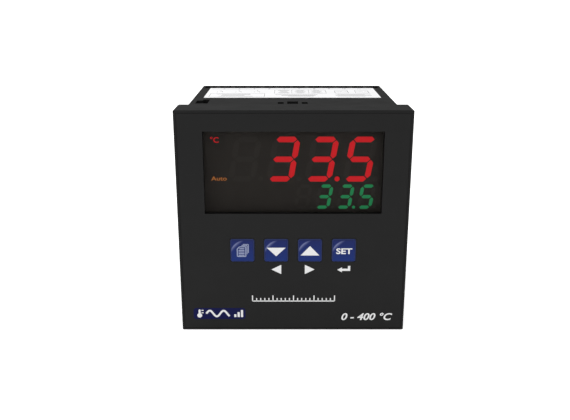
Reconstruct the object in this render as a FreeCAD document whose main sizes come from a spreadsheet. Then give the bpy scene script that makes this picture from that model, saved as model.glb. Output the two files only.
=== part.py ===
"""Panel-mount temperature controller, 96 x 96 mm, built as a parametric FreeCAD document.

The instrument frame that the bodies are drawn in has x to the right, y up and z towards the user, with its
origin at the centre of the panel seat, the rear face of the bezel. UPRIGHT turns it into the row frame:
X to the right, Y from the front into the panel, Z up.
"""
import FreeCAD, Part
import math
import os
import re

import Sketcher
from FreeCAD import Placement, Rotation, Vector

SIZES = {
    # bezel
    "bezel_overlap": 2.25,
    "bezel_depth": 15.0,
    "bezel_corner_radius": 0.5,
    "bezel_edge_chamfer": 0.4,
    "bezel_plate": 2.0,
    # case behind the panel
    "case_width": 91.5,
    "case_depth": 77.3,
    "case_corner_radius": 0.5,
    "case_wall": 1.5,
    "case_rear_wall": 2.0,
    "case_rear_chamfer": 0.4,
    "case_fit": 0.15,
    "rib_height": 1.6,
    "rib_thickness": 1.4,
    "rib_setback": 5.0,
    # snaps that hold the bezel on the case
    "snap_spacing": 56.0,
    "snap_width": 8.0,
    "snap_length": 3.0,
    "snap_height": 0.5,
    "snap_level": 6.2,
    "snap_gap": 0.15,
    # openings in the top and bottom of the case
    "clamp_slot_front": 16.2,
    "clamp_slot_width": 4.8,
    "clamp_slot_length": 6.8,
    "clamp_side_slot_offset": 5.3,
    "clamp_side_slot_width": 2.6,
    "clamp_side_slot_length": 5.0,
    "latch_inset": 2.75,
    "latch_front": 17.2,
    "latch_width": 5.5,
    "latch_length": 8.4,
    "latch_tongue_width": 3.0,
    "latch_tongue_length": 2.9,
    # label on the top of the case
    "label_margin": 4.75,
    "label_length": 32.3,
    "label_gap": 1.2,
    "label_thickness": 0.15,
    # printed front overlay
    "overlay_border": 1.1,
    "overlay_gap": 0.15,
    "overlay_thickness": 0.3,
    # display window
    "window_side_margin": 11.5,
    "window_top_margin": 8.6,
    "window_gap": 0.05,
    "window_flange": 1.8,
    "window_flange_thickness": 1.0,
    # keys
    "key_size": 10.0,
    "key_pitch": 14.2,
    "key_level": 11.05,
    "key_corner_radius": 0.9,
    "key_edge_chamfer": 0.3,
    "key_gap": 0.15,
    "key_proud": 0.4,
    "key_flange": 1.0,
    "key_flange_thickness": 1.0,
    "key_stem_size": 4.0,
    "key_stem_rib": 1.2,
    "key_travel": 0.3,
    # key switches
    "switch_size": 6.0,
    "switch_body_height": 3.5,
    "switch_height": 5.0,
    "switch_bore_depth": 1.3,
    "plunger_width": 3.4,
    "plunger_height": 2.4,
    "plunger_play": 0.2,
    "plunger_fit": 0.07,
    # display
    "display_gap": 0.2,
    "display_depth": 7.0,
    "display_margin": 0.5,
    "segment_depth": 0.6,
    "segment_gap": 0.3,
    "digit_slant": 9.8,
    "upper_digit_height": 18.8,
    "upper_digit_width": 11.2,
    "upper_digit_stroke": 2.3,
    "upper_digit_start": 9.7,
    "upper_digit_margin": 2.15,
    "upper_digit_drop": 2.6,
    "upper_point_diameter": 2.1,
    "lower_digit_height": 10.5,
    "lower_digit_width": 6.1,
    "lower_digit_stroke": 1.4,
    "lower_digit_gap": 2.65,
    "lower_digit_margin": 2.3,
    "lower_digit_drop": 1.25,
    "lower_digit_rise": 1.15,
    "lower_point_diameter": 1.3,
    "indicator_inset": 2.75,
    "unit_light_height": 2.4,
    "unit_light_drop": 2.7,
    "unit_light_gap": 3.5,
    "status_light_height": 1.7,
    "status_light_rise": 0.45,
    "status_light_gap": 0.65,
    # circuit boards
    "board_thickness": 1.6,
    "board_gap": 0.25,
    "board_groove_gap": 0.1,
    "header_length": 40.6,
    "header_width": 5.0,
    "header_depth": 6.0,
    # hooks of the bezel that hold the display board
    "hook_spacing": 36.0,
    "hook_width": 8.0,
    "hook_depth": 4.0,
    "hook_inset": 0.65,
    "hook_spring_thickness": 1.0,
    "hook_catch": 0.8,
    "hook_catch_height": 1.2,
    "hook_gap": 0.1,
    # screw terminals
    "terminal_count": 12,
    "terminal_rib": 1.5,
    "terminal_opening_length": 6.9,
    "terminal_rear_lip": 2.9,
    "terminal_gap": 0.1,
    "terminal_block_depth": 11.0,
    "terminal_block_height": 14.15,
    "terminal_block_floor": 2.5,
    "terminal_boss_height": 9.5,
    "terminal_boss_depth": 1.6,
    "terminal_boss_inset": 0.4,
    "terminal_boss_drop": 0.5,
    "terminal_boss_gap": 0.2,
    "terminal_screw_level": 6.5,
    "terminal_screw_diameter": 2.9,
    "terminal_screw_reach": 3.6,
    "terminal_screw_fit": 0.05,
    "terminal_head_diameter": 3.8,
    "terminal_head_height": 2.0,
    "terminal_head_gap": 0.1,
    "terminal_slot_width": 0.7,
    "terminal_slot_depth": 0.8,
    "clamp_sink": 1.95,
    "clamp_wall": 0.95,
    # parts on the boards
    "transformer_width": 22.0,
    "transformer_height": 20.0,
    "transformer_thickness": 7.0,
    "transformer_yoke": 3.5,
    "transformer_leg": 6.0,
    "transformer_gap": 0.2,
    "bulk_capacitor_diameter": 12.5,
    "bulk_capacitor_height": 20.0,
    "filter_capacitor_diameter": 8.0,
    "filter_capacitor_height": 11.5,
    "filter_capacitor_pitch": 10.0,
    "capacitor_chamfer": 0.5,
    "transformer_margin": 24.0,
    "transformer_setback": 33.0,
    "bulk_capacitor_setback": 25.0,
    "filter_capacitors_margin": 14.0,
    "filter_capacitors_setback": 17.0,
    "relay_width": 15.2,
    "relay_length": 19.0,
    "relay_height": 15.5,
    "relay_pitch": 17.0,
    "output_relays_margin": 11.0,
    "output_relays_setback": 51.0,
    "mains_fuse_diameter": 8.4,
    "mains_fuse_height": 7.6,
    "mains_fuse_margin": 8.0,
    "mains_fuse_setback": 53.0,
    "processor_width": 14.0,
    "processor_length": 14.0,
    "processor_height": 1.4,
    "processor_margin": 32.0,
    "processor_setback": 29.0,
    "input_converter_width": 10.3,
    "input_converter_length": 7.5,
    "input_converter_height": 2.4,
    "input_converter_margin": 26.0,
    "input_converter_setback": 47.0,
    "driver_width": 18.0,
    "driver_height": 7.5,
    "driver_thickness": 2.4,
}

# Places that several sub-parts share, worked out from the sizes.
BEZEL_WIDTH = "(case_width + 2 * bezel_overlap)"
PLATE_REAR = "(bezel_depth - bezel_plate)"
OVERLAY_SEAT = "(bezel_depth - overlay_thickness)"
WINDOW_WIDTH = f"({BEZEL_WIDTH} - 2 * window_side_margin)"
WINDOW_TOP = f"({BEZEL_WIDTH} / 2 - window_top_margin)"
UPPER_LEVEL = f"({WINDOW_TOP} - upper_digit_drop - upper_digit_height / 2)"
LOWER_LEVEL = f"({UPPER_LEVEL} - (upper_digit_height + lower_digit_height) / 2 - lower_digit_drop)"
WINDOW_BOTTOM = f"({LOWER_LEVEL} - lower_digit_height / 2 - lower_digit_rise)"
WINDOW_HEIGHT = f"({WINDOW_TOP} - {WINDOW_BOTTOM})"
WINDOW_LEVEL = f"(({WINDOW_TOP} + {WINDOW_BOTTOM}) / 2)"
WINDOW_REAR = f"({PLATE_REAR} - window_flange_thickness)"
DISPLAY_FACE = f"({WINDOW_REAR} - display_gap)"
BOARD_FRONT = f"({DISPLAY_FACE} - display_depth)"
BOARD_REAR = f"({BOARD_FRONT} - board_thickness)"
FLANGE_REAR = f"({PLATE_REAR} - key_flange_thickness)"
SWITCH_TOP = f"({BOARD_FRONT} + switch_body_height)"
SWITCH_TIP = f"({BOARD_FRONT} + switch_height)"
PLUNGER_END = f"({SWITCH_TOP} - switch_bore_depth + key_travel + plunger_play)"
KEY_OPENING = "(key_size + 2 * key_gap)"
KEY_ROW = "(0 - key_level)"
FIRST_KEY = "(0 - 1.5 * key_pitch)"
CASE_INNER = "(case_width - 2 * case_wall)"
REAR_WALL = "(case_rear_wall - case_depth)"
BOARD_WIDTH = f"({CASE_INNER} - 2 * board_gap)"
BLOCK_TOP = f"({CASE_INNER} / 2 - terminal_gap)"
BOARD_LEVEL = f"({BLOCK_TOP} - terminal_block_height)"
BOARD_INNER_FACE = f"({BOARD_LEVEL} - board_thickness)"
INNER_BOARD_FRONT = f"({BOARD_REAR} - display_gap)"
INNER_BOARD_REAR = f"({REAR_WALL} + board_gap)"
BLOCK_FRONT = f"({REAR_WALL} + terminal_block_depth)"
BLOCK_WIDTH = f"({CASE_INNER} - 2 * case_fit)"
TERMINAL_PITCH = f"(({CASE_INNER} + terminal_rib) / terminal_count)"
FIRST_TERMINAL = f"(0 - (terminal_count - 1) / 2 * {TERMINAL_PITCH})"
OPENING_WIDTH = f"({TERMINAL_PITCH} - terminal_rib)"
OPENING_REAR = "(terminal_rear_lip - case_depth)"
TERMINAL_CENTER = f"({OPENING_REAR} + terminal_opening_length / 2)"
CELL_WIDTH = f"({OPENING_WIDTH} - terminal_gap)"
CELL_LENGTH = "(terminal_opening_length - 2 * terminal_gap)"
CELL_FLOOR = f"({BOARD_LEVEL} + terminal_block_floor)"
BOSS_WIDTH = f"({BLOCK_WIDTH} - 2 * terminal_boss_inset)"
BOSS_CENTER = f"({CELL_FLOOR} + terminal_boss_height / 2 - terminal_boss_drop)"
SCREW_LEVEL = f"({BOARD_LEVEL} + terminal_screw_level)"
CLAMP_WIDTH = f"({CELL_WIDTH} - 2 * terminal_gap)"
CLAMP_LENGTH = f"({CELL_LENGTH} - 2 * terminal_gap)"
CLAMP_REAR = f"({TERMINAL_CENTER} - {CLAMP_LENGTH} / 2)"

UPRIGHT = Rotation(Vector(1, 0, 0), 90)
HALF_TURN = Rotation(Vector(0, 0, 1), 180)
BOTH_SIDES = (-1, 1)
CORNERS = [(side_x, side_y) for side_x in BOTH_SIDES for side_y in BOTH_SIDES]

document = FreeCAD.newDocument("controller")
sheet = document.addObject("Spreadsheet::Sheet", "Sizes")


def fill_sheet():
    """Write each size as a plain number with its own alias."""
    for row, (name, value) in enumerate(SIZES.items(), start=1):
        sheet.set(f"A{row}", name.replace("_", " "))
        sheet.set(f"B{row}", str(value))
        sheet.setAlias(f"B{row}", name)
    document.recompute()


def sized(expression):
    """Turn the size names in an expression into references to the sheet."""
    return re.sub(r"[a-z][a-z_]*[a-z]", r"Sizes.\g<0>", expression)


def number(expression):
    """The present value of an expression."""
    return float(sheet.evalExpression(sized(expression)))


def bind(item, prop, expression):
    """Tie a property to an expression over the sheet."""
    item.setExpression(prop, sized(expression))


# ---------------------------------------------------------------- sketches and features


def new_body(label, rotation=UPRIGHT):
    """A body in the instrument frame, turned upright."""
    body = document.addObject("PartDesign::Body", label)
    body.Label = label
    body.Placement = Placement(Vector(0, 0, 0), rotation)
    return body


def attach(item, body, level, role="XY_Plane"):
    """Lay a sketch or primitive on one of the body's origin planes, lifted along the plane's normal."""
    plane = next(feature for feature in body.Origin.OriginFeatures if feature.Role == role)
    item.AttachmentSupport = [(plane, "")]
    item.MapMode = "FlatFace"
    bind(item, "AttachmentOffset.Base.z", level)


def new_sketch(body, name, level, role="XY_Plane"):
    sketch = body.newObject("Sketcher::SketchObject", f"{body.Label}_{name}")
    attach(sketch, body, level, role)
    return sketch


def constrain(sketch, expression, kind, *where):
    """Add a driving dimension bound to an expression."""
    index = sketch.addConstraint(Sketcher.Constraint(kind, *where, number(expression)))
    bind(sketch, f"Constraints[{index}]", expression)


def add_polygon(sketch, points):
    """A closed outline through points given as pairs of expressions."""
    places = [Vector(number(x), number(y)) for x, y in points]
    lines = [
        sketch.addGeometry(Part.LineSegment(places[side - 1], places[side])) for side in range(len(points))
    ]
    for side, (x, y) in enumerate(points):
        sketch.addConstraint(Sketcher.Constraint("Coincident", lines[side - 1], 2, lines[side], 1))
        constrain(sketch, x, "DistanceX", -1, 1, lines[side], 2)
        constrain(sketch, y, "DistanceY", -1, 1, lines[side], 2)


def add_rectangle(sketch, x, y, width, height):
    """A rectangle round the centre x, y."""
    left, right = f"({x} - {width} / 2)", f"({x} + {width} / 2)"
    bottom, top = f"({y} - {height} / 2)", f"({y} + {height} / 2)"
    add_polygon(sketch, [(left, bottom), (right, bottom), (right, top), (left, top)])


def add_rounded_rectangle(sketch, x, y, width, height, radius):
    """A rectangle round the centre x, y with its corners rounded."""
    left, bottom = number(f"{x} - {width} / 2"), number(f"{y} - {height} / 2")
    right, top = left + number(width), bottom + number(height)
    round_off = number(radius)
    centers = [
        Vector(right - round_off, bottom + round_off),
        Vector(right - round_off, top - round_off),
        Vector(left + round_off, top - round_off),
        Vector(left + round_off, bottom + round_off),
    ]
    lines, arcs = [], []
    for side in range(4):
        turn = side * math.pi / 2
        outward = Vector(math.sin(turn), -math.cos(turn)) * round_off
        lines.append(
            sketch.addGeometry(Part.LineSegment(centers[side - 1] + outward, centers[side] + outward))
        )
        circle = Part.Circle(centers[side], Vector(0, 0, 1), round_off)
        arcs.append(sketch.addGeometry(Part.ArcOfCircle(circle, turn - math.pi / 2, turn)))
    for side in range(4):
        sketch.addConstraint(Sketcher.Constraint("Tangent", lines[side], 2, arcs[side], 1))
        sketch.addConstraint(Sketcher.Constraint("Tangent", arcs[side], 2, lines[(side + 1) % 4], 1))
        sketch.addConstraint(Sketcher.Constraint("Vertical" if side % 2 else "Horizontal", lines[side]))
    constrain(sketch, radius, "Radius", arcs[0])
    for arc in arcs[1:]:
        sketch.addConstraint(Sketcher.Constraint("Equal", arcs[0], arc))
    constrain(sketch, width, "DistanceX", lines[3], 1, lines[1], 1)
    constrain(sketch, height, "DistanceY", lines[0], 1, lines[2], 1)
    constrain(sketch, f"{x} - {width} / 2", "DistanceX", -1, 1, lines[3], 1)
    constrain(sketch, f"{y} - {height} / 2", "DistanceY", -1, 1, lines[0], 1)


def add_circle(sketch, x, y, diameter):
    """A circle round x, y."""
    center = Vector(number(x), number(y))
    circle = sketch.addGeometry(Part.Circle(center, Vector(0, 0, 1), number(diameter) / 2))
    constrain(sketch, diameter, "Diameter", circle)
    constrain(sketch, x, "DistanceX", -1, 1, circle, 3)
    constrain(sketch, y, "DistanceY", -1, 1, circle, 3)


def extrude(body, kind, sketch, length, reverse=False):
    """Pad or Pocket a sketch; a Pocket without a length cuts both ways through everything."""
    feature = body.newObject(f"PartDesign::{kind}", f"{sketch.Name}_{kind.lower()}")
    feature.Profile = sketch
    if length is None:
        feature.SideType = "Symmetric"
        feature.Type = "ThroughAll"
    else:
        bind(feature, "Length", length)
        feature.Reversed = reverse
    document.recompute()
    return feature


def pad(body, sketch, length, reverse=False):
    return extrude(body, "Pad", sketch, length, reverse)


def pocket(body, sketch, length=None, reverse=False):
    return extrude(body, "Pocket", sketch, length, reverse)


def add_prism(body, name, x, y, level, radius, height, sides):
    """A many-sided prism that stands for a turned pin."""
    prism = body.newObject("PartDesign::AdditivePrism", f"{body.Label}_{name}")
    attach(prism, body, level)
    bind(prism, "AttachmentOffset.Base.x", x)
    bind(prism, "AttachmentOffset.Base.y", y)
    bind(prism, "Circumradius", radius)
    bind(prism, "Height", height)
    prism.Polygon = sides
    document.recompute()
    return prism


def pattern(body, originals, sketch, pitch, count):
    """Repeat features to the right at a pitch."""
    repeat = body.newObject("PartDesign::LinearPattern", f"{body.Label}_row")
    repeat.Originals = originals
    repeat.Direction = (sketch, ["H_Axis"])
    repeat.Mode = "Spacing"
    bind(repeat, "Offset", pitch)
    bind(repeat, "Occurrences", count)
    body.Tip = repeat
    document.recompute()
    return repeat


def dress(body, kind, size, level):
    """Fillet or Chamfer the edges of the tip that lie at a level along z."""
    base = body.Tip
    height = number(level)
    names = []
    for index, edge in enumerate(base.Shape.Edges, start=1):
        if abs(edge.BoundBox.ZMin - height) < 1e-6 and abs(edge.BoundBox.ZMax - height) < 1e-6:
            names.append(f"Edge{index}")
    feature = body.newObject(f"PartDesign::{kind}", f"{body.Label}_{kind.lower()}")
    feature.Base = (base, names)
    bind(feature, "Radius" if kind == "Fillet" else "Size", size)
    document.recompute()
    return feature


# ---------------------------------------------------------------- front


def add_window_opening(sketch):
    width, height = [f"({side} + 2 * window_gap)" for side in (WINDOW_WIDTH, WINDOW_HEIGHT)]
    add_rectangle(sketch, "0", WINDOW_LEVEL, width, height)


def add_hooks(body):
    """Four arms behind the front plate: a shoulder in front of the display board and a hook behind it."""
    outer = f"({CASE_INNER} / 2 - hook_inset)"
    shoulders = new_sketch(body, "shoulders", PLATE_REAR)
    springs = new_sketch(body, "springs", BOARD_FRONT)
    catches = new_sketch(body, "catches", f"{BOARD_REAR} - hook_gap")
    for side_x, side_y in CORNERS:
        level = f"({side_y} * hook_spacing / 2)"
        for sketch, depth in (
            (shoulders, "hook_depth"),
            (springs, "hook_spring_thickness"),
            (catches, "(hook_spring_thickness + hook_catch)"),
        ):
            add_rectangle(sketch, f"({side_x} * ({outer} - {depth} / 2))", level, depth, "hook_width")
    pad(body, shoulders, f"{PLATE_REAR} - {BOARD_FRONT}", reverse=True)
    pad(body, springs, "board_thickness + hook_gap + hook_catch_height", reverse=True)
    pad(body, catches, "hook_catch_height", reverse=True)


def make_bezel():
    """The moulded front frame: a square tray whose skirt takes the front end of the case."""
    body = new_body("front_bezel")
    outline = new_sketch(body, "outline", "0")
    add_rounded_rectangle(outline, "0", "0", BEZEL_WIDTH, BEZEL_WIDTH, "bezel_corner_radius")
    pad(body, outline, "bezel_depth")
    dress(body, "Chamfer", "bezel_edge_chamfer", "bezel_depth")
    recess = new_sketch(body, "recess", "bezel_depth")
    recess_width = f"({BEZEL_WIDTH} - 2 * overlay_border)"
    add_rectangle(recess, "0", "0", recess_width, recess_width)
    pocket(body, recess, "overlay_thickness")
    socket = new_sketch(body, "socket", "0")
    socket_width = "(case_width + 2 * case_fit)"
    add_rectangle(socket, "0", "0", socket_width, socket_width)
    pocket(body, socket, PLATE_REAR, reverse=True)
    openings = new_sketch(body, "openings", "bezel_depth")
    add_window_opening(openings)
    for place in range(4):
        add_rectangle(openings, f"({FIRST_KEY} + {place} * key_pitch)", KEY_ROW, KEY_OPENING, KEY_OPENING)
    pocket(body, openings, "bezel_plate")
    snaps = new_sketch(body, "snap_pockets", "snap_level - snap_gap")
    for side_x, side_y in CORNERS:
        add_rectangle(
            snaps,
            f"({side_x} * snap_spacing / 2)",
            f"({side_y} * case_width / 2)",
            "(snap_width + 2 * snap_gap)",
            "(2 * (snap_height + snap_gap))",
        )
    pocket(body, snaps, "snap_length + 2 * snap_gap", reverse=True)
    add_hooks(body)
    return body


def make_overlay():
    """The printed sheet in the recess of the bezel."""
    body = new_body("front_overlay")
    outline = new_sketch(body, "outline", OVERLAY_SEAT)
    width = f"({BEZEL_WIDTH} - 2 * overlay_border - 2 * overlay_gap)"
    add_rectangle(outline, "0", "0", width, width)
    add_window_opening(outline)
    for place in range(4):
        center = f"({FIRST_KEY} + {place} * key_pitch)"
        add_rounded_rectangle(outline, center, KEY_ROW, KEY_OPENING, KEY_OPENING, "key_corner_radius")
    pad(body, outline, "overlay_thickness")
    return body


def make_window():
    """The smoked window: a plate flush with the overlay and a flange behind the bezel."""
    body = new_body("display_window")
    flange = new_sketch(body, "flange", WINDOW_REAR)
    width, height = [f"({side} + 2 * window_flange)" for side in (WINDOW_WIDTH, WINDOW_HEIGHT)]
    add_rectangle(flange, "0", WINDOW_LEVEL, width, height)
    pad(body, flange, "window_flange_thickness")
    step = new_sketch(body, "step", PLATE_REAR)
    add_rectangle(step, "0", WINDOW_LEVEL, WINDOW_WIDTH, WINDOW_HEIGHT)
    pad(body, step, "bezel_plate")
    return body


def place_key(body, place):
    bind(body, "Placement.Base.x", f"{FIRST_KEY} + {place} * key_pitch")
    bind(body, "Placement.Base.z", KEY_ROW)


def cross_outline(size, rib):
    """A plus sign round the origin."""
    corners = []
    for x, y in ((1, 1), (-1, 1), (-1, -1), (1, -1)):
        tall = (f"({x} * {rib} / 2)", f"({y} * {size} / 2)")
        inner = (f"({x} * {rib} / 2)", f"({y} * {rib} / 2)")
        wide = (f"({x} * {size} / 2)", f"({y} * {rib} / 2)")
        corners += [wide, inner, tall] if x == y else [tall, inner, wide]
    return corners


def make_key(label, place):
    """A key cap with a flange behind the bezel and a ribbed stem that reaches the switch."""
    body = new_body(label)
    flange = new_sketch(body, "flange", FLANGE_REAR)
    flange_size = "(key_size + 2 * key_flange)"
    add_rectangle(flange, "0", "0", flange_size, flange_size)
    pad(body, flange, "key_flange_thickness")
    cap = new_sketch(body, "cap", PLATE_REAR)
    add_rounded_rectangle(cap, "0", "0", "key_size", "key_size", "key_corner_radius")
    pad(body, cap, "bezel_plate + key_proud")
    dress(body, "Chamfer", "key_edge_chamfer", "bezel_depth + key_proud")
    stem = new_sketch(body, "stem", FLANGE_REAR)
    add_polygon(stem, cross_outline("key_stem_size", "key_stem_rib"))
    pad(body, stem, f"{FLANGE_REAR} - {SWITCH_TIP}", reverse=True)
    place_key(body, place)
    return body


def make_plunger(label, place):
    """The moving plunger of a key switch, which the key's stem pushes."""
    body = new_body(label)
    pin = new_sketch(body, "pin", SWITCH_TIP)
    add_rectangle(pin, "0", "0", "plunger_width", "plunger_height")
    pad(body, pin, f"{SWITCH_TIP} - {PLUNGER_END}", reverse=True)
    place_key(body, place)
    return body


def make_switches():
    """The four switch bodies, soldered to the display board."""
    body = new_body("key_switches")
    outline = new_sketch(body, "outline", BOARD_FRONT)
    add_rectangle(outline, FIRST_KEY, KEY_ROW, "switch_size", "switch_size")
    block = pad(body, outline, "switch_body_height")
    bore = new_sketch(body, "bore", SWITCH_TOP)
    bore_sides = ["(plunger_width + 2 * plunger_fit)", "(plunger_height + 2 * plunger_fit)"]
    add_rectangle(bore, FIRST_KEY, KEY_ROW, *bore_sides)
    hole = pocket(body, bore, "switch_bore_depth")
    pattern(body, [block, hole], outline, "key_pitch", "4")
    return body


# ---------------------------------------------------------------- display

# Bars of a seven-segment digit: the ends of each bar's centre line in half widths and half heights.
BARS = {
    "a": ((-1, 1), (1, 1)),
    "b": ((1, 1), (1, 0)),
    "c": ((1, 0), (1, -1)),
    "d": ((-1, -1), (1, -1)),
    "e": ((-1, -1), (-1, 0)),
    "f": ((-1, 0), (-1, 1)),
    "g": ((-1, 0), (1, 0)),
}
GLYPHS = {"blank": "", "three": "abcdg", "five": "acdfg"}
READING = ("blank", "three", "three", "five")
POINT_PLACE = 2
POINT_SIDES = 16
DIGIT_LEVELS = {"upper": UPPER_LEVEL, "lower": LOWER_LEVEL}


def prism(outline):
    """A segment's solid, from its flat outline, let into the face of the display."""
    rear = number(f"{DISPLAY_FACE} - segment_depth")
    wire = Part.makePolygon([Vector(x, y, rear) for x, y in outline + outline[:1]])
    return Part.Face(wire).extrude(Vector(0, 0, number("segment_depth")))


def round_outline(x, y, diameter):
    """A many-sided outline round x, y, close to a circle."""
    radius = number(diameter) / 2
    turns = [2 * math.pi * side / POINT_SIDES for side in range(POINT_SIDES)]
    return [(x + radius * math.cos(turn), y + radius * math.sin(turn)) for turn in turns]


def bar_outline(start, end, stroke, gap):
    """A six-sided bar with pointed ends between two corners of the digit."""
    along = Vector(*end) - Vector(*start)
    length = along.Length
    along.normalize()
    across = Vector(-along.y, along.x) * (stroke / 2)
    inset = along * (stroke / 2)
    first = Vector(*start) + along * gap
    last = first + along * (length - 2 * gap)
    points = [first, first + inset + across, last - inset + across]
    points += [last, last - inset - across, first + inset - across]
    return [(point.x, point.y) for point in points]


def lean():
    """Shift to the right for each millimetre of height."""
    return math.tan(math.radians(number("digit_slant")))


def digit_pitch(row, reach):
    """The lower row has a gap of its own; the upper row fills the window beside the indicators."""
    if row == "lower":
        return number("lower_digit_width + lower_digit_gap")
    room = number(f"{WINDOW_WIDTH} - upper_digit_start - upper_digit_margin") - 2 * reach
    return room / (len(READING) - 1)


def digit_row(row):
    """Lit and unlit segments of one row of digits that shows READING."""
    stroke = number(f"{row}_digit_stroke")
    half_width = number(f"({row}_digit_width - {row}_digit_stroke) / 2")
    half_height = number(f"({row}_digit_height - {row}_digit_stroke) / 2")
    reach = half_width + stroke / 2 + lean() * half_height
    pitch = digit_pitch(row, reach)
    last = number(f"{WINDOW_WIDTH} / 2 - {row}_digit_margin") - reach
    level = number(DIGIT_LEVELS[row])
    lit, unlit = [], []
    for place, glyph in enumerate(READING):
        center = last - pitch * (len(READING) - 1 - place)
        for name, ends in BARS.items():
            start, end = [(x * half_width, y * half_height) for x, y in ends]
            outline = bar_outline(start, end, stroke, number("segment_gap"))
            slanted = [(center + x + lean() * y, level + y) for x, y in outline]
            (lit if name in GLYPHS[glyph] else unlit).append(prism(slanted))
        point_x = center + pitch / 2 - lean() * half_height
        point = round_outline(point_x, level - half_height, f"{row}_point_diameter")
        (lit if place == POINT_PLACE else unlit).append(prism(point))
    return lit, unlit


def rectangle_outline(x, y, width, height):
    left, right = x - width / 2, x + width / 2
    bottom, top = y - height / 2, y + height / 2
    return [(left, bottom), (right, bottom), (right, top), (left, top)]


def add_feature(label, solids):
    """A set of solids as one document object, turned upright."""
    feature = document.addObject("Part::Feature", label)
    feature.Label = label
    feature.Shape = Part.makeCompound(solids) if len(solids) > 1 else solids[0]
    feature.Placement = Placement(Vector(0, 0, 0), UPRIGHT)
    return feature


def make_indicator(name, level):
    """A back-lit field between the left edge of the window and the first digit."""
    left = number(f"indicator_inset - {WINDOW_WIDTH} / 2")
    width = number(f"upper_digit_start - indicator_inset - {name}_gap")
    outline = rectangle_outline(left + width / 2, number(level), width, number(f"{name}_height"))
    return add_feature(name, [prism(outline)])


def make_display():
    """Segments of both rows, the two indicators, and the block whose wells they fill."""
    upper_lit, upper_unlit = digit_row("upper")
    lower_lit, lower_unlit = digit_row("lower")
    unit_level = f"({WINDOW_TOP} - unit_light_drop - unit_light_height / 2)"
    digit_base = f"({UPPER_LEVEL} - upper_digit_height / 2)"
    status_level = f"({digit_base} + status_light_rise + status_light_height / 2)"
    fillings = [
        add_feature("process_segments_lit", upper_lit),
        add_feature("process_segments_unlit", upper_unlit),
        add_feature("setpoint_segments_lit", lower_lit),
        add_feature("setpoint_segments_unlit", lower_unlit),
        make_indicator("unit_light", unit_level),
        make_indicator("status_light", status_level),
    ]
    block = document.addObject("Part::Box", "display_block")
    bind(block, "Length", f"{WINDOW_WIDTH} + 2 * display_margin")
    bind(block, "Width", "display_depth")
    bind(block, "Height", f"{WINDOW_HEIGHT} + 2 * display_margin")
    bind(block, "Placement.Base.x", f"0 - {WINDOW_WIDTH} / 2 - display_margin")
    bind(block, "Placement.Base.y", f"0 - {DISPLAY_FACE}")
    bind(block, "Placement.Base.z", f"{WINDOW_BOTTOM} - display_margin")
    wells = document.addObject("Part::Compound", "display_wells")
    wells.Links = fillings
    reflector = document.addObject("Part::Cut", "display_reflector")
    reflector.Label = "display_reflector"
    reflector.Base = block
    reflector.Tool = wells
    document.recompute()
    return [reflector] + fillings


# ---------------------------------------------------------------- boards


def make_display_board():
    """The board behind the display, with notches for the hooks of the bezel."""
    body = new_body("display_board")
    outline = new_sketch(body, "outline", BOARD_REAR)
    add_rectangle(outline, "0", "0", BOARD_WIDTH, BOARD_WIDTH)
    pad(body, outline, "board_thickness")
    notches = new_sketch(body, "notches", BOARD_FRONT)
    for side_x, side_y in CORNERS:
        add_rectangle(
            notches,
            f"({side_x} * {CASE_INNER} / 2)",
            f"({side_y} * hook_spacing / 2)",
            "(2 * (hook_inset + hook_spring_thickness + hook_gap))",
            "(hook_width + 2 * hook_gap)",
        )
    pocket(body, notches, "board_thickness")
    return body


def make_inner_board(label, rotation):
    """A board that slides in the grooves of the case and carries one row of terminals."""
    body = new_body(label, rotation)
    outline = new_sketch(body, "outline", INNER_BOARD_REAR)
    add_rectangle(outline, "0", f"({BOARD_LEVEL} - board_thickness / 2)", BOARD_WIDTH, "board_thickness")
    pad(body, outline, f"{INNER_BOARD_FRONT} - {INNER_BOARD_REAR}")
    return body


def make_headers():
    """The two connectors between the display board and the inner boards."""
    body = new_body("board_headers")
    outline = new_sketch(body, "outline", BOARD_REAR)
    for side in BOTH_SIDES:
        center = f"({side} * ({BOARD_INNER_FACE} - header_width / 2))"
        add_rectangle(outline, "0", center, "header_length", "header_width")
    pad(body, outline, "header_depth", reverse=True)
    return body


# ---------------------------------------------------------------- terminals


def make_terminal_block(label, rotation):
    """A strip of cells, open towards the wire openings of the case, with a boss through the rear wall."""
    body = new_body(label, rotation)
    outline = new_sketch(body, "outline", REAR_WALL)
    block_center = f"({BOARD_LEVEL} + terminal_block_height / 2)"
    add_rectangle(outline, "0", block_center, BLOCK_WIDTH, "terminal_block_height")
    pad(body, outline, "terminal_block_depth")
    boss = new_sketch(body, "boss", REAR_WALL)
    add_rectangle(boss, "0", BOSS_CENTER, BOSS_WIDTH, "terminal_boss_height")
    pad(body, boss, "terminal_boss_depth", reverse=True)
    cell = new_sketch(body, "cell", f"0 - {BLOCK_TOP}", "XZ_Plane")
    add_rectangle(cell, FIRST_TERMINAL, TERMINAL_CENTER, CELL_WIDTH, CELL_LENGTH)
    well = pocket(body, cell, f"{BLOCK_TOP} - {CELL_FLOOR}", reverse=True)
    boss_rear = f"({REAR_WALL} - terminal_boss_depth)"
    bore = new_sketch(body, "bore", boss_rear)
    bore_size = "(terminal_head_diameter + 2 * terminal_head_gap)"
    add_rectangle(bore, FIRST_TERMINAL, SCREW_LEVEL, bore_size, bore_size)
    hole = pocket(body, bore, f"{TERMINAL_CENTER} - {boss_rear}", reverse=True)
    pattern(body, [well, hole], outline, TERMINAL_PITCH, "terminal_count")
    return body


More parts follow.
